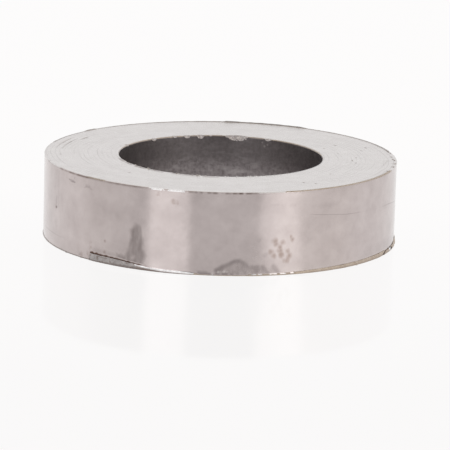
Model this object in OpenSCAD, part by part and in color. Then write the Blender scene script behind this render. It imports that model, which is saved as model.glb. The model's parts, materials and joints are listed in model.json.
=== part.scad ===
// Packing ring of flexible graphite, wound from foil tape and pressed to size in a die.
// It seals the stem of a valve: the bore slides on the stem, the outer wall fills the stuffing box.
// The ring lies on its lower face, with its axis on Z and the origin at the centre of that face.
// Lengths are in millimetres. Angles run from +X towards +Y, and -Y is the front.

/* [Ring] */
// Outer diameter, which fills the stuffing box
outer_d = 38; // [30:0.5:60]
// Bore diameter, which slides on the valve stem
bore_d = 22; // [10:0.5:30]
// Height along the stem, from the lower face to the top face
ring_h = 8.8; // [5:0.1:16]

/* [Edges] */
// Width of the small bevel on both edges of the bore
bore_bevel = 0.15; // [0.05:0.05:0.5]
// Height of the bevel where the outer wall meets the top rim
wall_bevel = 0.15; // [0.05:0.05:0.5]
// Height of the rim of flash that stands on the top face, along the outer wall
rim_h = 0.08; // [0.02:0.01:0.3]
// Thickness of that rim of flash
rim_t = 0.25; // [0.1:0.05:0.6]

/* [Foot of flash] */
// How far the foot of flash at the lower edge stands out of the outer wall
foot_out = 0.12; // [0.05:0.01:0.3]
// Height of the foot of flash
foot_h = 0.3; // [0.15:0.05:0.6]
// Height of the upright edge of the foot
foot_edge = 0.1; // [0.02:0.01:0.14]

/* [Torn flap] */
// Angle at which the torn flap of flash starts, with its tall end
flap_from = 225; // [180:1:270]
// Angle over which the flap runs down into the foot
flap_arc = 34; // [15:1:60]
// Height of the flap at its tall end
flap_h = 0.95; // [0.65:0.05:2]
// How far the top of the flap leans out of the outer wall
flap_out = 0.2; // [0.15:0.01:0.5]
// Thickness of the flap
flap_t = 0.1; // [0.05:0.01:0.14]

/* [Chipped bore edge] */
// Angle of each chip in the upper edge of the bore
chip_angles = [62, 81, 102, 110, 132]; // [0:1:359]
// Length of each chip along the edge
chip_lengths = [0.9, 2.4, 0.9, 0.8, 0.7]; // [0.6:0.1:4]
// Depth of each chip below the top face
chip_depths = [0.2, 0.5, 0.4, 0.24, 0.24]; // [0.1:0.02:0.5]

/* [Loose turns] */
// Angle of the middle of each gap between two turns of the tape, in the top face
gap_angles = [164, 166, 154]; // [0:1:359]
// Distance of each gap from the outer wall
gap_insets = [1.0, 1.7, 2.2]; // [0.8:0.1:5]
// Width of each gap at its middle, where the inner turn runs straight
gap_widths = [0.2, 0.12, 0.05]; // [0.02:0.01:0.3]
// Depth of the gaps below the top face
gap_depth = 0.3; // [0.1:0.05:1]

/* [Hidden] */
$fn = 180;
outer_r = outer_d / 2;
bore_r = bore_d / 2;
rim_r = outer_r - wall_bevel;
// The flap's top edge falls from flap_h to foot_h over this chord of the outer wall.
flap_chord = 2 * outer_r * sin(flap_arc / 2);
flap_slope = atan((flap_h - foot_h) / flap_chord);
flap_mid_h = (flap_h + foot_h) / 2;
graphite_grey = "#b3aaa8";

// Half of the ring's section: bore wall, lower face, foot of flash, outer wall, rim of flash and top face.
module ring_section() {
    polygon([
        [bore_r, bore_bevel],
        [bore_r + bore_bevel, 0],
        [outer_r + foot_out, 0],
        [outer_r + foot_out, foot_edge],
        [outer_r, foot_h],
        [outer_r, ring_h + rim_h - wall_bevel],
        [rim_r, ring_h + rim_h],
        [rim_r - rim_t, ring_h],
        [bore_r + bore_bevel, ring_h],
        [bore_r, ring_h - bore_bevel],
    ]);
}

// Section of the flap: rooted in the foot, it leans away from the wall with a narrow crevice behind it.
module flap_section() {
    polygon([
        [outer_r - flap_t, 0],
        [outer_r + foot_out, 0],
        [outer_r + flap_out, flap_h],
        [outer_r + flap_out - flap_t, flap_h],
        [outer_r, foot_edge],
        [outer_r - flap_t, foot_edge],
    ]);
}

// What the flap's sloping top edge leaves: everything below a plane that falls as the angle grows.
module below_flap_slope() {
    reach = 2 * outer_d;
    rotate([0, 0, flap_from + flap_arc / 2])
        translate([0, 0, flap_mid_h])
            rotate([-flap_slope, 0, 0])
                translate([0, -reach / 2, -reach])
                    cube(reach);
}

module torn_flap() {
    intersection() {
        rotate([0, 0, flap_from])
            rotate_extrude(angle = flap_arc) flap_section();
        below_flap_slope();
    }
}

// A chip is a shallow bowl: a sphere that meets the top face and the bore wall at the chip's depth,
// and the edge between them over the chip's length.
module chip(angle, length, depth) {
    half = length / 2;
    offset_in = (half * half - depth * depth) / (2 * depth);
    bowl_r = norm([depth + offset_in, offset_in]);
    rotate([0, 0, angle])
        translate([bore_r - offset_in, 0, ring_h + offset_in])
            sphere(bowl_r);
}

// A gap between two turns is a thin crescent: round on the side of the outer turn, straight on the inner.
module turn_gap(angle, inset, width) {
    gap_r = outer_r - inset;
    rotate([0, 0, angle])
        translate([0, 0, ring_h - gap_depth])
            intersection() {
                cylinder(r = gap_r, h = 2 * gap_depth);
                translate([gap_r - width, -gap_r, 0])
                    cube(2 * gap_r);
            }
}

module packing_ring() {
    color(graphite_grey)
        difference() {
            union() {
                rotate_extrude() ring_section();
                torn_flap();
            }
            for (i = [0 : len(chip_angles) - 1])
                chip(chip_angles[i], chip_lengths[i], chip_depths[i]);
            for (i = [0 : len(gap_angles) - 1])
                turn_gap(gap_angles[i], gap_insets[i], gap_widths[i]);
        }
}

packing_ring();
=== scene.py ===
import json
import math

import bmesh
import bpy
from mathutils import Matrix, Vector, noise


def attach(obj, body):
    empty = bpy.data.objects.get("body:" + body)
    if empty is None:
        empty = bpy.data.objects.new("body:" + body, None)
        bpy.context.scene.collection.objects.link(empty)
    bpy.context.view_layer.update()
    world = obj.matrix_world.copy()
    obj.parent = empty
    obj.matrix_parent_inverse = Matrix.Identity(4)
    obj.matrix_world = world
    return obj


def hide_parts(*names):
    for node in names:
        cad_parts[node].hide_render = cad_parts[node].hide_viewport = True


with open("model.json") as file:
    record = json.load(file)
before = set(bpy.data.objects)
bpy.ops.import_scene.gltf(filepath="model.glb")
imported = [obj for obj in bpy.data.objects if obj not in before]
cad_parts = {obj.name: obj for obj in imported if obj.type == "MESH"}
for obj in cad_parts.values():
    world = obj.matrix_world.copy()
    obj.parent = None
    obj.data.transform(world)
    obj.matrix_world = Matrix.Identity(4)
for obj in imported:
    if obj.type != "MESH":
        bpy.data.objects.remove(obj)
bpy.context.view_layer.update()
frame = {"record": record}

# Packing ring: a valve stem seal of flexible graphite. Foil tape was wound into a coil and pressed in a die,
# which polished the outer wall and squeezed thin flash out at the edges. It is one solid and lies loose.
# Its sizes are in millimetres, with angles in degrees from +X towards +Y, until the mesh is finished.
mounts = {mount["name"]: mount for mount in frame["record"]["mounts"]}
bore_r = mounts["bore"]["dims"]["r_mm"]
outer_r = mounts["outer_wall"]["dims"]["r_mm"]
ring_h = mounts["top_face"]["pos_m"][2] * 1000
degree_mm = math.radians(outer_r)

# The section is a loop of corners.
# Each row gives a corner's radius and height, and the rows of faces from it to the next corner.
foot_h = 0.3
foot_edge = 0.08
foot_out = 0.12
lip_out = 0.05
crevice_out = 0.01
crevice_depth = 0.06
crevice_floor = foot_h - crevice_depth
wall_foot = 0.4
edge_band = 0.36
edge_round = 0.08
rim_crest = 0.03
rim_w = 0.25
bore_bevel = 0.07
chip_zone = 0.9
support = 0.08
section = (
    (bore_r + bore_bevel, 0, 5),
    (outer_r - rim_w, 0, 2),
    (outer_r + foot_out, 0, 1),
    (outer_r + foot_out, foot_edge, 4),
    (outer_r + lip_out, foot_h, 1),
    (outer_r + crevice_out, foot_h, 1),
    (outer_r, crevice_floor, 4),
    (outer_r, wall_foot, 1),
    (outer_r, wall_foot + support, 22),
    (outer_r, ring_h - edge_band, 3),
    (outer_r, ring_h - edge_round, 3),
    (outer_r - edge_round / 3, ring_h - edge_round / 4, 3),
    (outer_r - edge_round, ring_h + rim_crest, 2),
    (outer_r - rim_w, ring_h, 22),
    (bore_r + bore_bevel, ring_h, 2),
    (bore_r, ring_h - bore_bevel, 1),
    (bore_r, ring_h - bore_bevel - support, 7),
    (bore_r, ring_h - chip_zone, 6),
    (bore_r, bore_bevel, 2),
)
segments = 450
merge_gap = 0.0001
ring = bmesh.new()
corners = [ring.verts.new((radius, 0, height)) for radius, height, _ in section]
sides = [ring.edges.new((corner, corners[(i + 1) % len(corners)])) for i, corner in enumerate(corners)]
for side, (_, _, rows) in zip(sides, section):
    if rows > 1:
        bmesh.ops.subdivide_edges(ring, edges=[side], cuts=rows - 1)
bmesh.ops.spin(ring, geom=ring.verts[:] + ring.edges[:], cent=(0, 0, 0), axis=(0, 0, 1),
               angle=math.tau, steps=segments, use_merge=True)
bmesh.ops.remove_doubles(ring, verts=ring.verts, dist=merge_gap)
bmesh.ops.recalc_face_normals(ring, faces=ring.faces)

# Chips broken out of the upper edge of the bore: angle, length along the edge, depth.
chips = (
    (62, 0.9, 0.2),
    (81, 2.4, 0.5),
    (96, 0.4, 0.1),
    (102, 0.75, 0.36),
    (110, 0.8, 0.24),
    (117.5, 0.5, 0.14),
    (132, 0.7, 0.24),
    (157, 0.5, 0.12),
)
# Crescent gaps on the top face, where a turn of the tape has come away from the next: angle, radius, width.
gaps = ((164, outer_r - 1.0, 0.2), (166, outer_r - 1.7, 0.12), (154, outer_r - 2.2, 0.05))
# A hairline runs on from each gap between the turns: how many degrees it reaches to each side.
gap_reach = (11, 11, 4)
# Small pits in the top face, stretched along the turns of the tape: angle, radius, width, length, depth.
pits = (
    (357, 14.2, 0.26, 0.7, 0.08), (3.2, 14.7, 0.2, 0.5, 0.06), (352.3, 14.7, 0.18, 0.5, 0.05),
    (22, 17.1, 0.26, 0.5, 0.06), (30, 14.5, 0.3, 0.4, 0.06), (17.5, 16.1, 0.2, 0.3, 0.04),
    (25.5, 12.5, 0.25, 0.3, 0.05), (12.5, 13.0, 0.2, 0.3, 0.04), (325, 14.2, 0.2, 0.3, 0.04),
    (304, 15.6, 0.4, 0.4, 0.04), (307, 16.6, 0.4, 0.4, 0.05), (227, 14.0, 0.35, 0.35, 0.05),
    (161.5, 11.5, 0.25, 0.3, 0.06), (185.5, 17.3, 0.25, 0.5, 0.05), (13.5, 18.8, 0.2, 1.2, 0.06),
    (11.3, 18.84, 0.22, 0.6, 0.1), (5.5, 18.58, 0.24, 0.8, 0.1), (1.4, 18.6, 0.24, 0.8, 0.12),
    (359.9, 18.76, 0.3, 0.8, 0.1), (354.3, 18.84, 0.26, 0.9, 0.12), (349.1, 18.84, 0.26, 0.9, 0.12),
    (341.7, 18.7, 0.3, 0.6, 0.08),
)
# A dent in the outer wall: angle, height, length along the wall, size up the wall, depth.
dents = ((204.6, 4.35, 0.6, 0.4, 0.08),)
# Dark lines on the outer wall: both ends as angle and height, half the width, and how dark they are.
scratches = (
    ((213.4, 7.92), (216.7, 7.84), 0.13, 0.45), ((215.2, 7.86), (216.8, 7.83), 0.15, 0.6),
    ((216.6, 8.2), (216.9, 8.3), 0.1, 0.35), ((222.0, 7.6), (223.4, 7.7), 0.11, 0.3),
    ((223.4, 7.7), (225.4, 7.59), 0.11, 0.25), ((286, 7.42), (295, 7.38), 0.09, 0.12),
    ((300, 7.0), (312, 6.95), 0.09, 0.08), ((204.8, 5.6), (204.5, 4.4), 0.14, 0.4),
)
# Soft scuffs at 204 to 206 degrees. The long soft lines about 1 mm up, from 227 and from 326 degrees, are
# painted shade low on the wall above the flash.
scuffs_and_base_shade = (
    ((204.2, 4.6), (204.2, 8.2), 0.9, 0.1), ((206.0, 4.6), (206.2, 8.3), 0.4, 0.12),
    ((227, 1.15), (237, 1.0), 0.5, 0.16), ((326, 1.0), (338, 0.9), 1.0, 0.1),
    ((338, 0.9), (350, 0.8), 1.0, 0.14),
)
# Dark marks just above the foot. The last line, from 341.5 to 349 degrees, is painted shade along the
# crevice over the cracked flash.
dirt_and_shade_by_the_foot = (
    ((219.6, 0.28), (220.4, 0.3), 0.14, 0.7), ((222.1, 0.42), (222.9, 0.45), 0.13, 0.6),
    ((224.4, 0.33), (225.0, 0.33), 0.15, 0.7), ((264.0, 0.18), (267.6, 0.18), 0.2, 0.55),
    ((269.6, 0.2), (270.4, 0.2), 0.2, 0.6), ((271.8, 0.2), (272.7, 0.2), 0.2, 0.6),
    ((274.0, 0.18), (274.7, 0.18), 0.18, 0.4), ((276.0, 0.2), (276.6, 0.2), 0.18, 0.3),
    ((341.5, 0.42), (349.0, 0.5), 0.1, 0.9),
)
tide_mark = (
    ((269.6, 0.55), (271.6, 1.0), 0.44, 0.5), ((271.6, 1.0), (274.0, 1.4), 0.38, 0.46),
    ((274.0, 1.4), (275.4, 1.58), 0.32, 0.46), ((275.4, 1.58), (276.8, 1.6), 0.32, 0.4),
    ((276.8, 1.6), (278.0, 1.38), 0.34, 0.32), ((278.0, 1.38), (279.4, 1.0), 0.4, 0.24),
)
ribs_of_the_drop = (
    ((280.8, 0.95), (282.5, 0.95), 0.34, 0.3), ((282.0, 0.9), (282.3, 0.4), 0.3, 0.24),
    ((283.0, 0.7), (282.0, 0.2), 0.34, 0.26), ((284.2, 0.95), (285.8, 0.25), 0.36, 0.3),
    ((287.8, 1.0), (289.4, 0.3), 0.4, 0.26), ((284.6, 2.15), (285.0, 2.2), 0.35, 0.14),
    ((282.6, 3.75), (282.9, 3.8), 0.35, 0.12),
)
wall_lines = scratches + scuffs_and_base_shade + dirt_and_shade_by_the_foot + tide_mark + ribs_of_the_drop
# Dark lines on the top face, painted shade in pits along the outer rim and along the near mouth of the
# bore: both ends as angle and radius, half the width, and how dark they are.
face_lines = (
    ((359.2, 18.0), (354.2, 17.8), 0.1, 0.35), ((354.2, 17.8), (349.5, 17.66), 0.1, 0.3),
    ((13, 18.8), (17.2, 18.73), 0.12, 0.5), ((17.2, 18.73), (25, 18.75), 0.1, 0.35),
    ((261.3, 11.45), (265.1, 11.55), 0.4, 0.6), ((265.1, 11.55), (268.8, 11.5), 0.4, 0.5),
    ((243.7, 11.35), (245.7, 11.3), 0.35, 0.6), ((196, 11.25), (204, 11.3), 0.25, 0.7),
    ((207, 11.25), (214, 11.3), 0.3, 0.6), ((217, 11.3), (226, 11.35), 0.35, 0.7),
    ((229, 11.3), (238, 11.4), 0.35, 0.5), ((248, 11.35), (257, 11.4), 0.35, 0.6),
)
# Every line is shorter than this, in degrees.
longest_line = 14
# Parts of the outer wall that carry stains: angle of the middle, half the arc, height.
stained_parts = ((242, 7.5, 4.9), (281, 14, 5.2))
# Arcs where the flash at the lower edge is torn or cracked, and the arc of the foot that faces the front.
ragged_flash = ((224.4, 263), (335.5, 351))
front_arc = (200, 370)
# How far the finer mesh reaches past the features themselves.
wall_line_spread, face_line_spread = 1.5, 2.0
chip_spread_in, chip_spread_along = 1.6, 0.6
gap_margin, gap_margin_angle = 0.2, 0.5
ragged_rim_band = 0.3
flash_margin_angle = 0.5
fine_cuts, edge_cuts = 2, 2
# Small lengths that tell which part of the section a point or a face lies on.
hair = 0.001
skin = 0.01


def polar(point):
    """Radius and angle of a point, the angle from 0 to 360 degrees."""
    return math.hypot(point.x, point.y), math.degrees(math.atan2(point.y, point.x)) % 360


def off_by(angle, middle):
    """How far an angle lies from a middle angle, from -180 to 180 degrees."""
    return (angle - middle + 180) % 360 - 180


def from_line(angle, level, start, end):
    """How far a place lies from the line between two others, in millimetres along the outer wall."""
    first = Vector((off_by(start[0], angle) * degree_mm, start[1] - level))
    along = Vector((off_by(end[0], angle) * degree_mm, end[1] - level)) - first
    share = max(0.0, min(1.0, -first.dot(along) / along.length_squared))
    return (first + share * along).length


def line_shade(angle, level, lines, spread=1.0):
    """How dark some lines make a place, up to their own darkness. A spread over 1 makes the lines wider."""
    darkest = 0.0
    for start, end, half_width, dark in lines:
        if abs(off_by(angle, start[0])) < longest_line:
            share = from_line(angle, level, start, end) / (spread * half_width)
            darkest = max(darkest, dark * max(0.0, 1 - share * share) ** 2)
    return darkest


def within(angle, arc, slack=0.0):
    """True for an angle inside an arc whose ends are moved out by some slack."""
    return (angle - arc[0] + slack) % 360 < arc[1] - arc[0] + 2 * slack


def in_arcs(angle, arcs, slack=0.0):
    """True for an angle inside one of some arcs."""
    return any(within(angle, arc, slack) for arc in arcs)


def near_feature(point):
    """True where flash, a chip, gap, pit, dent, line or stain needs a finer mesh."""
    radius, angle = polar(point)
    if radius > outer_r - skin:
        if point.z < wall_foot:
            return in_arcs(angle, ragged_flash)
        if any(abs(off_by(angle, middle)) < half and point.z < top for middle, half, top in stained_parts):
            return True
        if any(abs(off_by(angle, middle)) * degree_mm < long and abs(point.z - height) < tall
               for middle, height, long, tall, _ in dents):
            return True
        return line_shade(angle, point.z, wall_lines, wall_line_spread) > 0
    if point.z < ring_h - chip_zone:
        return False
    for middle, length, depth in chips:
        half_arc = math.degrees(chip_spread_along * length / bore_r)
        if radius < bore_r + chip_spread_in * depth and abs(off_by(angle, middle)) < half_arc:
            return True
    if point.z < ring_h - 2 * skin or radius > outer_r - edge_round:
        return False
    for (middle, gap_r, width), half_arc in zip(gaps, gap_reach):
        beside_gap = gap_r - width - gap_margin < radius < gap_r + gap_margin
        if beside_gap and abs(off_by(angle, middle)) < half_arc + gap_margin_angle:
            return True
    if line_shade(angle, radius, face_lines, face_line_spread) > 0:
        return True
    return any(abs(radius - pit_r) < wide and abs(off_by(angle, middle)) * math.radians(pit_r) < long
               for middle, pit_r, wide, long, _ in pits)


def at_ragged_edge(edge):
    """True for an edge that runs round the rim, the mouth of the bore or the front of the foot."""
    start, end = (vert.co for vert in edge.verts)
    radius = start.xy.length
    if abs(start.z - end.z) > hair or abs(radius - end.xy.length) > hair:
        return False
    at_outside = radius > outer_r - rim_w - skin
    if start.z > ring_h - ragged_rim_band and at_outside:
        return True
    if start.z > ring_h - bore_bevel - skin:
        return radius < bore_r + bore_bevel + skin
    angle = polar(start)[1]
    if in_arcs(angle, ragged_flash, flash_margin_angle):
        return False
    return at_outside and start.z < wall_foot + skin and within(angle, front_arc)


fine = [face for face in ring.faces if near_feature(face.calc_center_median())]
bmesh.ops.subdivide_edges(ring, edges=list({edge for face in fine for edge in face.edges}), cuts=fine_cuts,
                          use_grid_fill=True)
bmesh.ops.subdivide_edges(ring, edges=[edge for edge in ring.edges if at_ragged_edge(edge)], cuts=edge_cuts)
bmesh.ops.triangulate(ring, faces=[face for face in ring.faces if len(face.verts) > 4])

# Each zone of the surface has its own finish. A face belongs to the zone that its middle lies in,
# and the borders of the zones are ragged: by so many degrees, in so many lumps to a millimetre.
WALL, FACE, BORE, FLASH, TAN, TORN, GLINT, BROKEN = range(8)
zone_stray, zone_lumps = 1.5, 2.5
rim_torn_arc = (14, 165)
rim_face_arcs = ((344, 374), (165, 207), (282, 291))
# Arcs of the rim and of the foot that are tan: in part a painted reflection of the warm side walls.
rim_tan_arcs = ((223, 231), (291, 344))
# Stretches of the rim painted with white glints as highlights, and how far down the rim they reach.
rim_glint_arcs = ((247.5, 252), (253.5, 259.5))
rim_glint_h = 0.13
foot_tan_arc = (262, 366)
torn_arc = (225, 243)
# The lip of the bore is tan on its far side, with a border that strays this many times as far.
lip_tan_arc = (8, 168)
lip_stray = 4
# Painted highlights: white stretches on top of the foot, where upright beads of flash shine: angle of the
# middle, length. Their ends fray.
foot_glints = (
    (253, 6.6), (268.5, 0.3), (281.2, 0.9), (283.4, 0.5), (286.9, 0.4), (288.3, 0.3), (290.9, 0.6),
    (294, 0.3), (344.2, 0.7),
)
glint_fray = 0.4
# How far down the foot they reach. The long one starts as a thin line along the top of the torn flash.
glint_floors = (
    (200, 0.24), (243, 0.24), (250, 0.12), (252, foot_edge), (266, foot_edge), (278, 0.18), (296, 0.18),
    (340, foot_edge),
)


def round_profile(angle, points):
    """A value that runs straight between given (angle, value) points round the ring."""
    wrapped = points + ((points[0][0] + 360, points[0][1]),)
    angle = (angle - points[0][0]) % 360 + points[0][0]
    for (a, low), (b, high) in zip(wrapped, wrapped[1:]):
        if angle <= b:
            return low + (high - low) * (angle - a) / (b - a)
    return points[0][1]


def zone_of(middle):
    """The zone that the middle of a face lies in."""
    radius, angle = polar(middle)
    ragged = zone_stray * noise.noise(middle * zone_lumps)
    on_rim = middle.z > ring_h - edge_round
    if radius < bore_r + skin:
        return BORE
    if radius < bore_r + bore_bevel:
        return TAN if within(angle, lip_tan_arc, lip_stray * ragged) else BROKEN
    if radius < outer_r - rim_w:
        return FACE
    if on_rim and within(angle, rim_torn_arc, ragged):
        return TORN
    # Painted highlights: white glints on the rim.
    if middle.z > ring_h - rim_glint_h and in_arcs(angle, rim_glint_arcs, ragged):
        return GLINT
    if on_rim and in_arcs(angle, rim_face_arcs, ragged):
        return FACE
    if on_rim:
        return TAN if in_arcs(angle, rim_tan_arcs, ragged) else WALL
    if radius < outer_r + 2 * hair and middle.z > crevice_floor:
        return WALL
    # Painted highlights: white stretches on top of the foot.
    if middle.z > round_profile(angle, glint_floors):
        for along, long in foot_glints:
            if abs(off_by(angle, along)) * degree_mm < min(long / 2, glint_fray) * ragged + long / 2:
                return GLINT
    if within(angle, torn_arc, ragged):
        return TORN
    return TAN if within(angle, foot_tan_arc, ragged) else FLASH


for face in ring.faces:
    face.material_index = zone_of(face.calc_center_median())

# Flash at the lower edge. It is a thin line at the left, starts with a torn end at 225 degrees,
# falls away to the front and rises again to a cracked and peeled end at the right.
flash_heights = (
    (10, 0.2), (40, 0.14), (224.6, 0.1), (225.2, 0.77), (234, 0.73), (237, 0.69), (241, 0.58), (246, 0.46),
    (248, 0.39), (252, 0.35), (258, 0.31), (261, 0.25), (263.5, 0.15), (264.5, 0.08), (267.8, 0.08),
    (268.4, 0.2), (269, 0.08), (279, 0.08), (280, 0.18), (292, 0.19), (299, 0.28), (317, 0.37), (338, 0.43),
    (341, 0.32), (349, 0.34), (352, 0.45), (357, 0.65), (364, 0.5),
)
flash_outs = (
    (20, 0.08), (180, 0.05), (215, 0.03), (224.6, 0.04), (225.2, 0.12), (250, 0.12), (258, 0.11),
    (262, 0.09), (263, 0.02), (279, 0.02), (280, 0.08), (290, 0.09), (297, 0.12), (338, 0.12), (366, 0.12),
)
# Flash lower than this wanders in and out less.
full_wander_h = 0.2
# Arcs where the flash and the rim stand upright, so that they shine as the wall does.
upright_flash = ((243, 264), (279.5, 295))
upright_rim = ((205, 291),)
# The crevice behind the flash, and how dark it is painted with dirt and shade.
crevice_widths = (
    (12, 0.0), (224.6, 0.0), (225.2, 0.03), (228, 0.01), (240, 0.01), (240.8, 0.03), (241.6, 0.01),
    (248, 0.0), (338, 0.0), (341, 0.02), (349, 0.01), (350.5, 0.0),
)
crevice_dirt_and_shade = (
    (12, 0.0), (224.6, 0.0), (225.0, 1.0), (229, 0.95), (231, 0.75), (236, 0.75), (240, 0.85), (240.8, 1.0),
    (241.6, 0.8), (245, 0.7), (247.5, 0.4), (249, 0.0), (340.8, 0.0), (341.3, 0.9), (349.3, 0.8), (350, 0.3),
    (358, 0.2), (362, 0.0),
)
# The dark shade at the very base of the flash: how far it reaches up, how dark it is, how fast it fades in.
base_reaches = (
    (20, 0.1), (224, 0.08), (226, 0.18), (236, 0.3), (248, 0.34), (254, 0.2), (262, 0.1), (296, 0.08),
    (300, 0.2), (340, 0.2),
)
base_darks = (
    (20, 0.5), (224, 0.6), (228, 0.6), (250, 0.65), (258, 0.5), (263, 0.2), (296, 0.2), (340, 0.35),
)
base_fade = 1.6
# Cracks and a hole in the flash, painted dark as shade: both ends as angle and height, half the width, and
# how dark they are. Where they are darkest they are also deepest.
flash_cracks = (
    ((336.9, 0.06), (339.8, 0.36), 0.12, 1.6),
    ((345.4, 0.14), (347.2, 0.14), 0.15, 4.0),
    ((228.5, 0.66), (232.5, 0.58), 0.06, 0.5),
    ((235.2, 0.3), (235.8, 0.36), 0.08, 0.4),
    ((225.2, 0.17), (225.6, 0.17), 0.1, 0.7),
)
crack_depth = 0.04
# Crumbs of flash that stick out at the base: angle, length, how far they stick out.
crumbs = ((212.8, 0.4, 0.1), (221, 0.5, 0.06), (319.6, 0.3, 0.14), (338, 0.5, 0.05))
# Flash that stands on the outer rim of the top face, and how far the rim leans out of the wall.
rim_heights = (
    (12, 0.02), (18, 0.05), (40, 0.05), (59, 0.04), (62, 0.12), (80, 0.11), (84, 0.1), (86, 0.13),
    (88.5, 0.13), (89.5, 0.07), (110, 0.05), (137, 0.03), (139, 0.09), (142, 0.09), (144, 0.02),
    (160, 0.015), (190, 0.0), (345, 0.0), (352, 0.015),
)
rim_outs = (
    (20, 0.03), (60, 0.0), (150, 0.0), (165, 0.03), (192, 0.03), (200, 0.0), (342, 0.0), (350, 0.05),
)
# Levels in the rounded edge below the rim, as shares of its height: where the round starts, where it
# leans out, up to where it can stand upright, and where the crest of the rim starts.
round_from, lean_from, upright_to, crest_from = -0.01, 0.5, 0.8, 0.99
# A darker band painted along the upper outer edge, which breaks up into dots on one stretch.
edge_darkening = (
    (193.5, 0.0), (195, 0.1), (196, 0.8), (197, 0.1), (206.5, 0.15), (207.4, 0.8), (208.7, 0.8), (210, 0.4),
    (212.5, 0.5), (213.3, 1.0), (216.2, 1.0), (217.4, 0.6), (219, 1.0), (223, 1.0), (225, 0.5), (230, 0.35),
    (232, 0.6), (244, 0.6), (247, 0.1), (258, 0.1), (261, 0.8), (268, 1.0), (279, 0.9), (283, 0.1),
    (343, 0.12), (345, 0.0),
)
edge_darkening_half = 0.15
edge_darkening_mean = 0.85
dotted_arc = (257, 284)
dot_cover = 0.8
# Roughness round the ring: how much, the length of its lumps, and the layer of noise that it takes.
flash_h_rough = (0.05, 0.6, 3)
crevice_dirt_and_shade_rough = (0.4, 0.4, 7)
flash_wander = (0.03, 0.9, 11)
flash_fray = (0.015, 0.3, 13)
rim_h_rough = (0.25, 0.6, 17)
edge_nicks = (0.012, 0.8, 19)
edge_darkening_rough = (0.5, 0.6, 21)
edge_fray = (0.01, 0.35, 23)
edge_dots = (2.0, 0.4, 25)
burr_teeth = (1.0, 0.4, 29)
mouth_wander = (1.0, 0.4, 31)
burr_fray = (0.5, 0.2, 37)

# Dried stains on the outer wall, as outlines of angle and height: a dark run above the torn flash with a
# thin place in it, a drop at the front, and a film that spreads up from the drop.
run = (
    (241.0, 3.0), (241.2, 4.2), (242.8, 4.9), (245.4, 4.6), (246.0, 3.1), (246.1, 2.3), (247.0, 1.6),
    (246.2, 0.8), (245.6, 0.2), (240.2, 0.3), (236.6, 0.9), (236.6, 1.35), (239.3, 1.27), (240.3, 1.9),
)
run_thin = ((242.2, 1.2, 0.1),)
drop = (
    (269.2, 0.0), (269.2, 0.5), (271.6, 1.05), (274.1, 1.5), (276.8, 1.8), (278.8, 1.35), (279.8, 1.1),
    (283.0, 1.05), (284.9, 1.1), (286.2, 0.6), (287.7, 1.1), (288.9, 0.6), (290.2, 0.0),
)
film = (
    (276.5, 1.6), (277.8, 2.3), (279.1, 3.6), (280.5, 5.0), (283.7, 3.8), (285.4, 2.2), (289.6, 0.2),
    (276, 0.2),
)
# No stain is longer than this, in degrees.
longest_stain = 30
# Brown spots of tarnish on the outer wall: angle, height, radius.
spots = (
    (288.0, 3.6, 0.26), (288.4, 3.3, 0.24), (290.6, 3.4, 0.26), (289.6, 2.95, 0.28), (289.1, 2.6, 0.2),
    (289.9, 2.6, 0.26), (290.2, 2.2, 0.3), (286.8, 2.5, 0.22), (287.7, 2.1, 0.22), (292.1, 2.5, 0.2),
    (292.9, 2.0, 0.22), (292.3, 1.75, 0.18), (291.8, 1.5, 0.24), (293.1, 4.0, 0.14), (293.9, 3.7, 0.18),
    (256.4, 7.5, 0.2), (255.3, 7.6, 0.16), (225.2, 1.9, 0.1), (231.5, 2.4, 0.1), (231.4, 1.2, 0.1),
    (250.5, 8.2, 0.14), (225.5, 1.4, 0.08), (221, 0.35, 0.16), (224.4, 0.66, 0.12),
)
# Pale rubbed places on the outer wall and on the bore: angle, height, radius.
wall_rubs = (
    (268.5, 0.14, 0.13), (270.4, 0.4, 0.07), (271.3, 0.43, 0.08), (272.0, 0.46, 0.07), (273.2, 0.44, 0.08),
)
bore_rubs = ((65.5, 8.35, 0.08), (64.1, 7.95, 0.1), (62.2, 8.15, 0.07))
# A hairline crease in the outer wall, painted as a dark line of shade: its height, and how plainly it shows.
crease_heights = (
    (185, 1.5), (193, 1.36), (208, 1.39), (218, 1.6), (300, 6.2), (314, 5.7), (342, 5.3), (356, 4.7),
)
crease_shade_strengths = (
    (184, 0), (190, 0.5), (204, 0.4), (212, 0), (299, 0), (302, 0.4), (318, 0.4), (322, 0.1), (335, 0.1),
    (342, 0.8), (352, 0.8), (357, 0),
)


def along_edge(angle, amount, lump, layer):
    """Smooth noise round the ring, of the given amount each way, with lumps of about the given length."""
    turn = math.radians(angle)
    reach = outer_r / lump
    return amount * noise.noise(Vector((reach * math.cos(turn), reach * math.sin(turn), layer)))


def lumpy(point, scale, finer_share, shift=Vector()):
    """Smooth noise at a point, with a share of noise that is three times as fine."""
    return noise.noise(scale * point + shift) + finer_share * noise.noise(3 * scale * point + shift)


def inside_by(angle, height, outline):
    """How far a place on the wall lies inside an outline, in millimetres. Outside, it is below zero."""
    nearest, inside = 1.0, False
    if abs(off_by(angle, outline[0][0])) > longest_stain:
        return -nearest
    for start, end in zip(outline, outline[1:] + outline[:1]):
        nearest = min(nearest, from_line(angle, height, start, end))
        low, high = start[1] - height, end[1] - height
        if (low > 0) != (high > 0):
            share = low / (low - high)
            if off_by(start[0], angle) * (1 - share) + off_by(end[0], angle) * share > 0:
                inside = not inside
    return nearest if inside else -nearest


def inside_spots(angle, height, radius, places):
    """How far a place on a wall of the given radius lies inside the nearest of some round spots."""
    return max(spot_r - math.hypot(off_by(angle, middle) * math.radians(radius), height - spot_h)
               for middle, spot_h, spot_r in places)


# The wall waves a little, and the borders of lines and stains stray from their outlines.
wall_wave, wall_wave_lump = 0.005, 3
stray, finer_stray = 0.14, 0.5
stray_apart = Vector((40, 0, 0))
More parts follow.
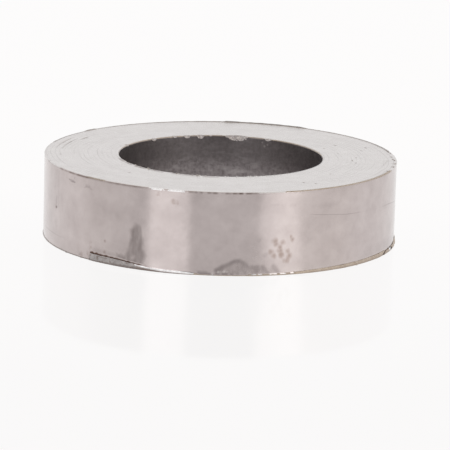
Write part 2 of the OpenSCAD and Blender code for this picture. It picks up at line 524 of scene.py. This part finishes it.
# How dark the painted shade in dents and pits is, and the depth and painted shade of gaps between turns.
bowl_shade = 0.9
gap_depth, gap_shade = 0.1, 0.2
# Every gap ends within this many degrees of its middle.
gap_limit = 40
# The hairline along a gap: how far it lies inside the gap's radius, half its width, how dark it is,
# and how fast it fades in from its ends.
hairline_inset, hairline_half, hairline_shade, hairline_fade = 0.06, 0.08, 0.45, 0.3
# A burr on the near side of the bore's mouth, and how far the mouth wanders, there and all round.
burr_middle, burr_half, burr_h = 255, 65, 0.2
mouth_stray, mouth_stray_near = 0.012, 0.08
layers = {name: ring.verts.layers.float.new(name) for name in (
    "recess", "lines", "run", "drop", "film", "tarnish", "rubbed", "crease", "crease_shows")}
for vert in ring.verts:
    point = vert.co.copy()
    radius, angle = polar(point)
    height = point.z
    recess = 0.0
    for name in ("run", "drop", "film", "tarnish", "rubbed"):
        vert[layers[name]] = -1.0
    vert[layers["crease"]] = 1.0
    flash_h = round_profile(angle, flash_heights) * (1 + along_edge(angle, *flash_h_rough))
    on_outside = radius > outer_r - rim_w + hair
    on_foot = on_outside and height < wall_foot + hair
    on_wall = not on_foot and radius > outer_r - hair
    on_edge = on_outside and height > ring_h - edge_band - hair
    on_top = height > ring_h - hair and radius < outer_r - edge_round + hair
    in_mouth = height > ring_h - bore_bevel - hair and radius < bore_r + bore_bevel + hair

    # The foot of flash leans out of the wall, with a crevice behind it where it has come away. The crevice
    # is painted dark with dirt and shade, and the base of the flash and its cracks with painted shade.
    if on_foot:
        crevice = round_profile(angle, crevice_widths)
        height *= flash_h / foot_h
        if radius < outer_r + crevice_out / 2:
            if height > hair:
                dirtied_and_shaded = round_profile(angle, crevice_dirt_and_shade) * (1 + along_edge(angle, *crevice_dirt_and_shade_rough))
                above = (point.z - foot_h) / (wall_foot - foot_h)
                recess = max(0.0, min(1.0, 2 * dirtied_and_shaded - 2 * above))
            if abs(point.z - crevice_floor) < hair:
                height -= crevice
        else:
            if radius > outer_r + lip_out - hair and in_arcs(angle, upright_flash):
                radius = outer_r + foot_out
            radius = outer_r + (radius - outer_r) * round_profile(angle, flash_outs) / foot_out
            if point.z > foot_h - hair:
                radius += crevice
            wander = along_edge(angle, *flash_wander) + along_edge(angle, *flash_fray)
            radius += wander * min(1, flash_h / full_wander_h)
            shaded = min(1.0, base_fade - base_fade * height / round_profile(angle, base_reaches))
            cracked = line_shade(angle, height, flash_cracks)
            radius -= crack_depth * cracked
            recess = max(shaded * round_profile(angle, base_darks), cracked)
            for middle, length, out in crumbs:
                reach = abs(off_by(angle, middle)) * degree_mm / (length / 2)
                if reach < 1 and point.z < foot_edge + hair:
                    radius += out * (1 - reach * reach)

    # The wall stands on the foot and waves a little, and it holds the dent with its painted shade, lines,
    # stains and crease.
    if on_wall:
        share = (ring_h - edge_band - height) / (ring_h - edge_band - wall_foot)
        height += wall_foot * (flash_h / foot_h - 1) * max(0.0, share)
        radius += wall_wave * noise.noise(point / wall_wave_lump)
        for middle, dent_h, long, tall, depth in dents:
            off = off_by(angle, middle) * degree_mm
            reach = math.hypot(off / (long / 2), (height - dent_h) / (tall / 2))
            if reach < 1:
                bowl = (1 - reach * reach) ** 2
                radius -= depth * bowl
                recess = max(recess, bowl_shade * bowl)
        strayed = angle + stray / degree_mm * lumpy(point, 1, finer_stray)
        lifted = height + stray * lumpy(point, 1, finer_stray, stray_apart)
        thin = inside_spots(strayed, lifted, outer_r, run_thin)
        vert[layers["lines"]] = line_shade((angle + strayed) / 2, (height + lifted) / 2, wall_lines)
        vert[layers["run"]] = min(inside_by(strayed, lifted, run), -thin)
        vert[layers["drop"]] = inside_by(strayed, lifted, drop)
        vert[layers["film"]] = inside_by(strayed, lifted, film)
        vert[layers["tarnish"]] = inside_spots(angle, height, outer_r, spots)
        vert[layers["rubbed"]] = inside_spots(angle, height, outer_r, wall_rubs)
        vert[layers["crease"]] = height - round_profile(angle, crease_heights)
        vert[layers["crease_shows"]] = round_profile(angle, crease_shade_strengths)
    elif radius < bore_r + hair:
        vert[layers["rubbed"]] = inside_spots(angle, height, bore_r, bore_rubs)

    # The edge between the wall and the top face is nicked and painted darker along a band, and its rim
    # carries its own flash.
    if on_edge:
        darkening = round_profile(angle, edge_darkening) * (edge_darkening_mean + along_edge(angle, *edge_darkening_rough))
        if within(angle, dotted_arc):
            darkening *= max(0.0, min(1.0, dot_cover + along_edge(angle, *edge_dots)))
        off_edge = abs(ring_h - edge_round - point.z) / edge_darkening_half
        recess = max(recess, min(1.0, darkening) * (1 - off_edge))
        up = (point.z - ring_h + edge_round) / edge_round
        if round_from < up < upright_to and in_arcs(angle, upright_rim):
            radius = outer_r
        elif up > round_from:
            radius -= max(0.0, along_edge(angle, *edge_nicks) + along_edge(angle, *edge_fray))
        if up > lean_from:
            radius += round_profile(angle, rim_outs)
        if up > crest_from:
            rim = round_profile(angle, rim_heights) * (1 + along_edge(angle, *rim_h_rough))
            height = ring_h + (point.z - ring_h) / rim_crest * rim

    # The top face has gaps between loose turns, small pits, and lines, each with painted shade in it.
    if on_top:
        for (middle, gap_r, width), half_arc in zip(gaps, gap_reach):
            off = abs(off_by(angle, middle))
            inner = (gap_r - width) / math.cos(math.radians(min(off, gap_limit)))
            if inner < radius < gap_r:
                share = min(radius - inner, gap_r - radius) / (0.5 * (gap_r - inner))
                height -= gap_depth * min(1.0, 2 * share) * min(1.0, (gap_r - inner) / width)
                recess = max(recess, gap_shade * min(1.0, 2 * share))
            if off < half_arc:
                beside = 1 - abs(radius - gap_r + hairline_inset) / hairline_half
                recess = max(recess, hairline_shade * beside * min(1.0, hairline_fade * (half_arc - off)))
        for middle, pit_r, wide, long, depth in pits:
            off = off_by(angle, middle) * math.radians(pit_r)
            reach = math.hypot((radius - pit_r) / (wide / 2), off / (long / 2))
            if reach < 1:
                bowl = (1 - reach * reach) ** 2
                height -= depth * bowl
                recess = max(recess, bowl_shade * bowl)
        recess = max(recess, line_shade(angle, radius, face_lines))

    # The mouth of the bore is ragged, with a burr on the near side.
    if in_mouth:
        near = max(0.0, 1 - (off_by(angle, burr_middle) / burr_half) ** 2)
        radius += (mouth_stray + mouth_stray_near * near) * along_edge(angle, *mouth_wander)
        height += burr_h * near * max(0.0, along_edge(angle, *burr_teeth) + along_edge(angle, *burr_fray))

    turn = math.radians(angle)
    vert.co = Vector((radius * math.cos(turn), radius * math.sin(turn), height))
    vert[layers["recess"]] = recess

# Each chip is a shallow bowl, so what lies inside its ball moves out to the ball's rough surface.
chip_rough, chip_lumps, chip_finer = 0.07, 2, 0.7
mouth = [vert for vert in ring.verts
         if vert.co.z > ring_h - chip_zone and vert.co.xy.length < bore_r + chip_zone]
for middle, length, depth in chips:
    half = length / 2
    inset = (half * half - depth * depth) / (2 * depth)
    ball_r = math.hypot(depth + inset, inset)
    turn = math.radians(middle)
    centre = Vector(((bore_r - inset) * math.cos(turn), (bore_r - inset) * math.sin(turn), ring_h + inset))
    for vert in mouth:
        reach = vert.co - centre
        rough = 1 + chip_rough * lumpy(vert.co, chip_lumps, chip_finer)
        if reach.length < ball_r * rough:
            vert.co = centre + reach.normalized() * ball_r * rough
            for face in vert.link_faces:
                face.material_index = BROKEN

# The finished mesh goes from millimetres to metres.
to_metres = 0.001
sharp_angle = math.radians(50)
bmesh.ops.scale(ring, vec=(to_metres, to_metres, to_metres), verts=ring.verts)
mesh = bpy.data.meshes.new("packing_ring_detailed")
ring.to_mesh(mesh)
ring.free()
mesh.shade_smooth()
mesh.set_sharp_from_angle(angle=sharp_angle)
piece = bpy.data.objects.new("packing_ring_detailed", mesh)
bpy.context.scene.collection.objects.link(piece)


def linear(code):
    """An sRGB hex colour as linear red, green, blue and alpha."""
    parts = [int(code[i:i + 2], 16) / 255 for i in (1, 3, 5)]
    return [c / 12.92 if c <= 0.04045 else ((c + 0.055) / 1.055) ** 2.4 for c in parts] + [1.0]


def add(tree, kind, inputs=None, **settings):
    """Adds a node, sets its settings, and gives each named input a value or a link."""
    made = tree.nodes.new(kind)
    for name, value in settings.items():
        setattr(made, name, value)
    for name, value in (inputs or {}).items():
        if isinstance(value, bpy.types.NodeSocket):
            tree.links.new(value, made.inputs[name])
        else:
            made.inputs[name].default_value = value
    return made


def start_graphite(name, shade, light, cloud, flake):
    """Starts a graphite material with a cloudy tone and a grain of flakes, both sized in millimetres."""
    material = bpy.data.materials.new(name)
    material.use_nodes = True
    tree = material.node_tree
    tree.nodes.clear()
    mesh.materials.append(material)
    place = add(tree, "ShaderNodeTexCoord").outputs["Object"]
    clouds = add(tree, "ShaderNodeTexNoise", {
        "Vector": place, "Scale": 1000 / cloud, "Detail": 6.0, "Roughness": 0.6}).outputs["Fac"]
    cloudy = add(tree, "ShaderNodeMapRange", {
        "Value": clouds, "From Min": 0.3, "From Max": 0.7}).outputs["Result"]
    tone = add(tree, "ShaderNodeMix", {"Factor": cloudy, "A": linear(shade), "B": linear(light)},
               data_type="RGBA").outputs["Result"]
    grain = add(tree, "ShaderNodeTexNoise", {
        "Vector": place, "Scale": 1000 / flake, "Detail": 3.0}).outputs["Fac"]
    return tree, place, tone, grain


def finish_graphite(tree, tone, grain, rough, bump, metallic=1.0, dull=0.0):
    """Ends graphite: brown dirt and painted shade, black painted shade in holes, grain in gloss and relief.
    """
    # Dirt and painted shade stored on the mesh turn the tone brown; above 1 they turn it black, as painted
    # shade in holes.
    darkening = add(tree, "ShaderNodeAttribute", attribute_name="recess").outputs["Fac"]
    dirtied_and_shaded = add(tree, "ShaderNodeMix", {"Factor": darkening, "A": tone, "B": linear("#5d473e")},
                data_type="RGBA").outputs["Result"]
    hole_shade = add(tree, "ShaderNodeMapRange", {
        "Value": darkening, "From Min": 1.0, "From Max": 2.0}).outputs["Result"]
    dirtied_and_shaded = add(tree, "ShaderNodeMix", {"Factor": hole_shade, "A": dirtied_and_shaded, "B": linear("#1c1515")},
                data_type="RGBA").outputs["Result"]
    roughness = add(tree, "ShaderNodeMapRange", {
        "Value": grain, "From Min": 0.3, "From Max": 0.7,
        "To Min": rough[0], "To Max": rough[1]}).outputs["Result"]
    duller = add(tree, "ShaderNodeMath", {0: roughness, 1: dull}, operation="ADD").outputs["Value"]
    relief = add(tree, "ShaderNodeBump", {
        "Height": grain, "Strength": 1.0, "Distance": bump / 1000}).outputs["Normal"]
    shader = add(tree, "ShaderNodeBsdfPrincipled", {
        "Base Color": dirtied_and_shaded, "Metallic": metallic, "Roughness": duller, "Normal": relief})
    add(tree, "ShaderNodeOutputMaterial", {"Surface": shader.outputs["BSDF"]})


def marked(tree, name, ragged, low, high):
    """A mask from a distance stored on the mesh: it rises from 0 to 1 across a ragged border, in mm."""
    inside = add(tree, "ShaderNodeAttribute", attribute_name=name).outputs["Fac"]
    border = add(tree, "ShaderNodeMath", {0: inside, 1: ragged}, operation="ADD").outputs["Value"]
    return add(tree, "ShaderNodeMapRange", {
        "Value": border, "From Min": low, "From Max": high}).outputs["Result"]


def coated(tree, tone, code, mask, body):
    """The tone under a coat of another colour: the mask says where it lies, the body how thick it is."""
    thick = add(tree, "ShaderNodeMath", {0: mask, 1: body}, operation="MULTIPLY").outputs["Value"]
    return add(tree, "ShaderNodeMix", {"Factor": thick, "A": tone, "B": linear(code)},
               data_type="RGBA").outputs["Result"]


# Die-polished graphite: the die wall has burnished the foil to a warm grey metal shine that mirrors its
# surroundings softly. Dried stains dull it, brown spots and pale rubs mark it, and a hairline crease is
# painted on it as a line of shade.
# The stains have fibres about 0.4 mm wide and 1.25 mm tall, so this many to a millimetre each way.
fibres_per_mm = (2.4, 2.4, 0.8)
crease_half = 0.07
stain_dullness = 0.1
tree, place, tone, grain = start_graphite(
    "die_polished_graphite", "#b9afad", "#cbc1bf", cloud=2.5, flake=0.2)
streaky = add(tree, "ShaderNodeVectorMath", {0: place, 1: [1000 * count for count in fibres_per_mm]},
              operation="MULTIPLY").outputs["Vector"]
fibres = add(tree, "ShaderNodeTexNoise", {"Vector": streaky, "Scale": 1.0, "Detail": 4.0}).outputs["Fac"]
ragged = add(tree, "ShaderNodeMapRange", {
    "Value": fibres, "To Min": -0.3, "To Max": 0.3}).outputs["Result"]
run_body = add(tree, "ShaderNodeMapRange", {
    "Value": fibres, "From Min": 0.35, "From Max": 0.65, "To Min": 0.7, "To Max": 0.4}).outputs["Result"]
drop_body = add(tree, "ShaderNodeMapRange", {
    "Value": fibres, "From Min": 0.35, "From Max": 0.65, "To Min": 0.5, "To Max": 0.15}).outputs["Result"]
film_mask = marked(tree, "film", 0.0, -0.5, 0.7)
drop_mask = marked(tree, "drop", ragged, -0.2, 0.3)
tone = coated(tree, tone, "#857b79", film_mask, 0.12)
tone = coated(tree, tone, "#857b79", drop_mask, drop_body)
tone = coated(tree, tone, "#7d7371", marked(tree, "run", ragged, -0.15, 0.25), run_body)
lines = add(tree, "ShaderNodeAttribute", attribute_name="lines").outputs["Fac"]
tone = coated(tree, tone, "#5f5454", lines, 1.0)
tone = coated(tree, tone, "#8b776c", marked(tree, "tarnish", ragged, -0.18, 0.2), 0.65)
tone = coated(tree, tone, "#f0ebe9", marked(tree, "rubbed", ragged, -0.1, 0.08), 0.35)
# The crease is painted on as a dark line of shade.
offset = add(tree, "ShaderNodeAttribute", attribute_name="crease").outputs["Fac"]
apart = add(tree, "ShaderNodeMath", {0: offset}, operation="ABSOLUTE").outputs["Value"]
crease = add(tree, "ShaderNodeMapRange", {
    "Value": apart, "From Min": crease_half, "From Max": 0.0, "To Max": 0.75}).outputs["Result"]
crease_shade_amount = add(tree, "ShaderNodeAttribute", attribute_name="crease_shows").outputs["Fac"]
tone = coated(tree, tone, "#6f6563", crease, crease_shade_amount)
films = add(tree, "ShaderNodeMath", {0: film_mask, 1: drop_mask}, operation="MAXIMUM").outputs["Value"]
dull = add(tree, "ShaderNodeMath", {0: films, 1: stain_dullness}, operation="MULTIPLY").outputs["Value"]
finish_graphite(tree, tone, grain, rough=(0.12, 0.18), bump=0.0003, dull=dull)

# Pressed graphite: the flat punches leave a satin, paler grey. The edges of the wound turns show as faint
# rings, drawn a little coarser than the real tape so that they show. They sway, and fade in and out.
turn_pitch = 0.5
sway_size, sway_turns = 8, 1.6
seam_share = 0.15
stretches_per_radian = 2.5
tree, place, tone, grain = start_graphite(
    "pressed_graphite_face", "#cfcac9", "#d8d4d3", cloud=1.5, flake=0.12)
flat = add(tree, "ShaderNodeVectorMath", {0: place, 1: (1000, 1000, 0)},
           operation="MULTIPLY").outputs["Vector"]
axes = add(tree, "ShaderNodeSeparateXYZ", {"Vector": flat})
reach = add(tree, "ShaderNodeVectorMath", {0: flat}, operation="LENGTH").outputs["Value"]
bearing = add(tree, "ShaderNodeMath", {0: axes.outputs["Y"], 1: axes.outputs["X"]},
              operation="ARCTAN2").outputs["Value"]
turns = add(tree, "ShaderNodeMath", {0: reach, 1: turn_pitch}, operation="DIVIDE").outputs["Value"]
wound = add(tree, "ShaderNodeMath", {0: bearing, 1: 1 / math.tau, 2: turns},
            operation="MULTIPLY_ADD").outputs["Value"]
sway = add(tree, "ShaderNodeTexNoise", {
    "Vector": place, "Scale": 1000 / sway_size, "Detail": 2.0}).outputs["Fac"]
swayed = add(tree, "ShaderNodeMath", {0: sway, 1: sway_turns, 2: wound},
             operation="MULTIPLY_ADD").outputs["Value"]
between = add(tree, "ShaderNodeMath", {0: swayed, 1: 0.5}, operation="PINGPONG").outputs["Value"]
seam = add(tree, "ShaderNodeMapRange", {
    "Value": between, "From Min": seam_share, "From Max": 0.0}).outputs["Result"]
round_way = add(tree, "ShaderNodeVectorMath", {0: flat}, operation="NORMALIZE").outputs["Vector"]
outwards = add(tree, "ShaderNodeCombineXYZ", {"Z": reach}).outputs["Vector"]
along_turns = add(tree, "ShaderNodeVectorMath", {
    0: round_way, 1: (stretches_per_radian, stretches_per_radian, 0), 2: outwards},
    operation="MULTIPLY_ADD").outputs["Vector"]
stretches = add(tree, "ShaderNodeTexNoise", {
    "Vector": along_turns, "Scale": 1.0, "Detail": 2.0}).outputs["Fac"]
showing = add(tree, "ShaderNodeMapRange", {
    "Value": stretches, "From Min": 0.38, "From Max": 0.62, "To Max": 0.45}).outputs["Result"]
tone = coated(tree, tone, "#8d8786", seam, showing)
finish_graphite(tree, tone, grain, rough=(0.25, 0.33), bump=0.001)

# Bore graphite: rubbed by the mandrel when it was drawn out, so it is dull, with upright streaks and pale
# smears along the turns of the tape. Its greys are set dark, and darker near the top, as painted shade
# inside the bore. The streaks are drawn about 0.3 mm wide and 2 mm tall, coarser than real ones so that
# they show, and the smears 1.4 mm long and 0.45 mm tall.
streaks_per_mm = (3.3, 3.3, 0.5)
smears_per_mm = (0.7, 0.7, 2.2)
shade_from, shade_to = 4.8, 6.6
tree, place, tone, grain = start_graphite(
    "bore_graphite", "#817a7b", "#b3acad", cloud=0.35, flake=0.25)
upright = add(tree, "ShaderNodeVectorMath", {0: place, 1: [1000 * count for count in streaks_per_mm]},
              operation="MULTIPLY").outputs["Vector"]
drawn = add(tree, "ShaderNodeTexNoise", {"Vector": upright, "Scale": 1.0, "Detail": 4.0}).outputs["Fac"]
streaks = add(tree, "ShaderNodeMapRange", {
    "Value": drawn, "From Min": 0.45, "From Max": 0.7}).outputs["Result"]
tone = coated(tree, tone, "#645d5e", streaks, 0.25)
level = add(tree, "ShaderNodeVectorMath", {0: place, 1: [1000 * count for count in smears_per_mm]},
            operation="MULTIPLY").outputs["Vector"]
rubbed = add(tree, "ShaderNodeTexNoise", {"Vector": level, "Scale": 1.0, "Detail": 5.0}).outputs["Fac"]
smears = add(tree, "ShaderNodeMapRange", {
    "Value": rubbed, "From Min": 0.5, "From Max": 0.75}).outputs["Result"]
tone = coated(tree, tone, "#dcd6d6", smears, 0.45)
# Painted shade: the bore darkens towards its top.
height = add(tree, "ShaderNodeSeparateXYZ", {"Vector": place}).outputs["Z"]
upper_shade = add(tree, "ShaderNodeMapRange", {
    "Value": height, "From Min": shade_from / 1000, "From Max": shade_to / 1000}).outputs["Result"]
tone = coated(tree, tone, "#757070", upper_shade, 0.7)
tone = coated(tree, tone, "#d8d1cf", marked(tree, "rubbed", 0.0, -0.08, 0.06), 0.5)
finish_graphite(tree, tone, grain, rough=(0.32, 0.45), bump=0.004)

# Squeezed flash: graphite that ran out between die and punch. It is thin, satin and lumpy.
tree, _, tone, grain = start_graphite(
    "squeezed_graphite_flash", "#aba19e", "#c9c0bd", cloud=0.6, flake=0.15)
finish_graphite(tree, tone, grain, rough=(0.3, 0.42), bump=0.003, metallic=0.3)

# Tan flash: the same flash where it is dull and tan, without the metal shine. Its tan is in part tarnish
# and in part a painted reflection of the warm side walls of the room.
tree, _, tone, grain = start_graphite(
    "bloomed_graphite_flash", "#b8a99c", "#cfc3b8", cloud=0.5, flake=0.15)
finish_graphite(tree, tone, grain, rough=(0.4, 0.55), bump=0.003, metallic=0.3)

# Torn graphite: the flash has broken here and shows its dull, flaky inside, with brown dirt in it.
dirt_size = 0.4
tree, place, tone, grain = start_graphite(
    "torn_graphite_flash", "#aba6a6", "#c9c4c4", cloud=0.5, flake=0.15)
darkening = add(tree, "ShaderNodeTexNoise", {
    "Vector": place, "Scale": 1000 / dirt_size, "Detail": 3.0}).outputs["Fac"]
specks = add(tree, "ShaderNodeMapRange", {
    "Value": darkening, "From Min": 0.6, "From Max": 0.68}).outputs["Result"]
tone = coated(tree, tone, "#7a5f4e", specks, 0.55)
finish_graphite(tree, tone, grain, rough=(0.35, 0.5), bump=0.008, metallic=0.55)

# Glinting flash: upright beads of flash and stretches of the rim, painted a near-white mirror colour as a
# highlight, so that they shine white.
tree, _, tone, grain = start_graphite(
    "fresh_graphite_flash", "#dcd9da", "#fbfafb", cloud=0.7, flake=0.15)
finish_graphite(tree, tone, grain, rough=(0.2, 0.32), bump=0.003)

# Broken graphite: chips at the mouth of the bore, where flakes stand on edge and scatter the light,
# so they are nearly white between darker hollows.
tree, _, tone, grain = start_graphite(
    "broken_graphite_edge", "#aaa0a0", "#fbf8fa", cloud=0.25, flake=0.15)
finish_graphite(tree, tone, grain, rough=(0.45, 0.6), bump=0.02, metallic=0.1)

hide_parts("packing_ring")
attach(piece, "root")

# Floor: a white glossy sheet of acrylic that the ring lies on. It shows a faint mirror image and shadow of
# the ring, and its glow is painted a little dimmer towards the camera, as painted shade. From here on,
# sizes are in metres.
floor_half = 1.5
# A hair below the ring, so that the two faces don't lie in one plane.
floor_z = -0.00001
dim_from, dim_to, dimmed = 0.02, -0.06, 0.97
matt_share = 0.05
gloss_seen, gloss_mirrored = 0.05, 0.2
floor_mesh = bpy.data.meshes.new("floor")
floor_shape = bmesh.new()
bmesh.ops.create_grid(floor_shape, x_segments=1, y_segments=1, size=floor_half,
                      matrix=Matrix.Translation((0, 0, floor_z)))
floor_shape.to_mesh(floor_mesh)
floor_shape.free()
floor = bpy.data.objects.new("floor", floor_mesh)
bpy.context.scene.collection.objects.link(floor)
floor_sheet = bpy.data.materials.new("white_acrylic_sheet")
floor_sheet.use_nodes = True
floor_sheet.cycles.emission_sampling = "NONE"
tree = floor_sheet.node_tree
tree.nodes.clear()
ray = add(tree, "ShaderNodeLightPath").outputs
matt = add(tree, "ShaderNodeBsdfDiffuse", {"Color": linear("#f9f8f8")}).outputs["BSDF"]
place = add(tree, "ShaderNodeTexCoord").outputs["Object"]
away = add(tree, "ShaderNodeSeparateXYZ", {"Vector": place}).outputs["Y"]
# Painted shade: the glow dims towards the camera.
painted_dimming = add(tree, "ShaderNodeMapRange", {
    "Value": away, "From Min": dim_to, "From Max": dim_from,
    "To Min": dimmed, "To Max": 1.0}).outputs["Result"]
glow = add(tree, "ShaderNodeEmission", {"Color": linear("#fffefe"), "Strength": painted_dimming}).outputs["Emission"]
white = add(tree, "ShaderNodeMixShader", {0: matt_share, 1: glow, 2: matt}).outputs["Shader"]
gloss = add(tree, "ShaderNodeBsdfAnisotropic", {
    "Color": linear("#ffffff"), "Roughness": 0.06}).outputs["BSDF"]
share = add(tree, "ShaderNodeMapRange", {
    "Value": ray["Is Camera Ray"], "To Min": gloss_mirrored, "To Max": gloss_seen}).outputs["Result"]
glossy = add(tree, "ShaderNodeMixShader", {0: share, 1: white, 2: gloss}).outputs["Shader"]
mirrored = add(tree, "ShaderNodeMath", {0: ray["Is Glossy Ray"], 1: ray["Is Transmission Ray"]},
               operation="MAXIMUM").outputs["Value"]
seen = add(tree, "ShaderNodeMath", {0: mirrored, 1: ray["Is Camera Ray"]},
           operation="MAXIMUM").outputs["Value"]
sheet = add(tree, "ShaderNodeMixShader", {0: seen, 1: matt, 2: glossy}).outputs["Shader"]
add(tree, "ShaderNodeOutputMaterial", {"Surface": sheet})
floor_mesh.materials.append(floor_sheet)

# Room: a white backdrop behind the ring, white walls with warm upper parts at both sides, a grey ceiling,
# and a dim stretch behind the camera. Heights are the Z of the direction looked in, bearings are degrees
# from the front towards the right, and each pair runs from none of a part to all of it.
wall_stops = ((0.16, "#ffffff"), (0.3, "#fff3dc"), (0.55, "#f3e2c4"), (0.8, "#aaa6a2"))
dim_left = (-140, -54)
dim_right = (47, 24)
dim_below = (0.8, 0.55)
backdrop_behind = (-0.1, 0.3)
backdrop_below = (0.75, 0.5)
world = bpy.data.worlds.new("studio_room")
bpy.context.scene.world = world
world.use_nodes = True
tree = world.node_tree
tree.nodes.clear()
looked_in = add(tree, "ShaderNodeTexCoord").outputs["Generated"]
aim = add(tree, "ShaderNodeSeparateXYZ", {"Vector": looked_in}).outputs
walls = add(tree, "ShaderNodeValToRGB", {"Fac": aim["Z"]})
while len(walls.color_ramp.elements) < len(wall_stops):
    walls.color_ramp.elements.new(0.5)
for element, (position, code) in zip(walls.color_ramp.elements, wall_stops):
    element.position = position
    element.color = linear(code)
to_front = add(tree, "ShaderNodeMath", {0: aim["Y"], 1: -1.0}, operation="MULTIPLY").outputs["Value"]
bearing = add(tree, "ShaderNodeMath", {0: aim["X"], 1: to_front}, operation="ARCTAN2").outputs["Value"]
from_left, to_right = (
    add(tree, "ShaderNodeMapRange", {
        "Value": bearing, "From Min": math.radians(none), "From Max": math.radians(whole)}).outputs["Result"]
    for none, whole in (dim_left, dim_right))
low, to_back, below_top = (
    add(tree, "ShaderNodeMapRange", {"Value": along, "From Min": none, "From Max": whole}).outputs["Result"]
    for along, (none, whole) in (
        (aim["Z"], dim_below), (aim["Y"], backdrop_behind), (aim["Z"], backdrop_below)))
across = add(tree, "ShaderNodeMath", {0: from_left, 1: to_right}, operation="MULTIPLY").outputs["Value"]
front = coated(tree, walls.outputs["Color"], "#5d5956", across, low)
room = coated(tree, front, "#ffffff", to_back, below_top)
light = add(tree, "ShaderNodeBackground", {"Color": room, "Strength": 1.0}).outputs["Background"]
add(tree, "ShaderNodeOutputWorld", {"Surface": light})

# Softboxes: two tall lamps with cloth fronts, standing on the floor left and right of the camera.
# Each has a name, the angle it stands at, its width and how bright its cloth is.
softboxes = (("softbox_left", 230, 0.24, 2.0), ("softbox_right", 317.5, 0.26, 1.72))
softbox_distance = 0.6
softbox_h = 0.5
softbox_aim = Vector((0, 0, 0.2))
for name, side_angle, softbox_w, brightness in softboxes:
    lamp = bpy.data.lights.new(name, "AREA")
    lamp.shape = "RECTANGLE"
    lamp.size, lamp.size_y = softbox_w, softbox_h
    lamp.energy = brightness * math.pi * softbox_w * softbox_h
    lamp_object = bpy.data.objects.new(name, lamp)
    turn = math.radians(side_angle)
    lamp_object.location = (
        softbox_distance * math.cos(turn), softbox_distance * math.sin(turn), softbox_h / 2)
    lamp_object.rotation_euler = (softbox_aim - lamp_object.location).to_track_quat("-Z", "Z").to_euler()
    lamp_object.visible_camera = False
    bpy.context.scene.collection.objects.link(lamp_object)

# Camera: a long lens just above the ring, a little out of level, as in the photograph.
# Its distance and elevation are measured from the middle of the ring's top face.
camera_distance = 0.3811
camera_elevation = math.radians(11.553)
camera_roll = math.radians(1.631)
camera_aim = Vector((0.00067, 0, 0.00112))
face_middle = Vector((0, 0, ring_h / 1000))
camera = bpy.data.cameras.new("camera")
camera.lens = 282.4
camera.sensor_width = 36
camera.clip_start = 0.01
camera.clip_end = 10
camera_object = bpy.data.objects.new("camera", camera)
towards = Vector((0, -math.cos(camera_elevation), math.sin(camera_elevation)))
camera_object.location = face_middle + camera_distance * towards
level_turn = (camera_object.location - camera_aim).to_track_quat("Z", "Y").to_matrix()
camera_object.rotation_euler = (level_turn @ Matrix.Rotation(camera_roll, 3, "Z")).to_euler()
bpy.context.scene.collection.objects.link(camera_object)
bpy.context.scene.camera = camera_object
bpy.context.scene.view_settings.view_transform = "Standard"
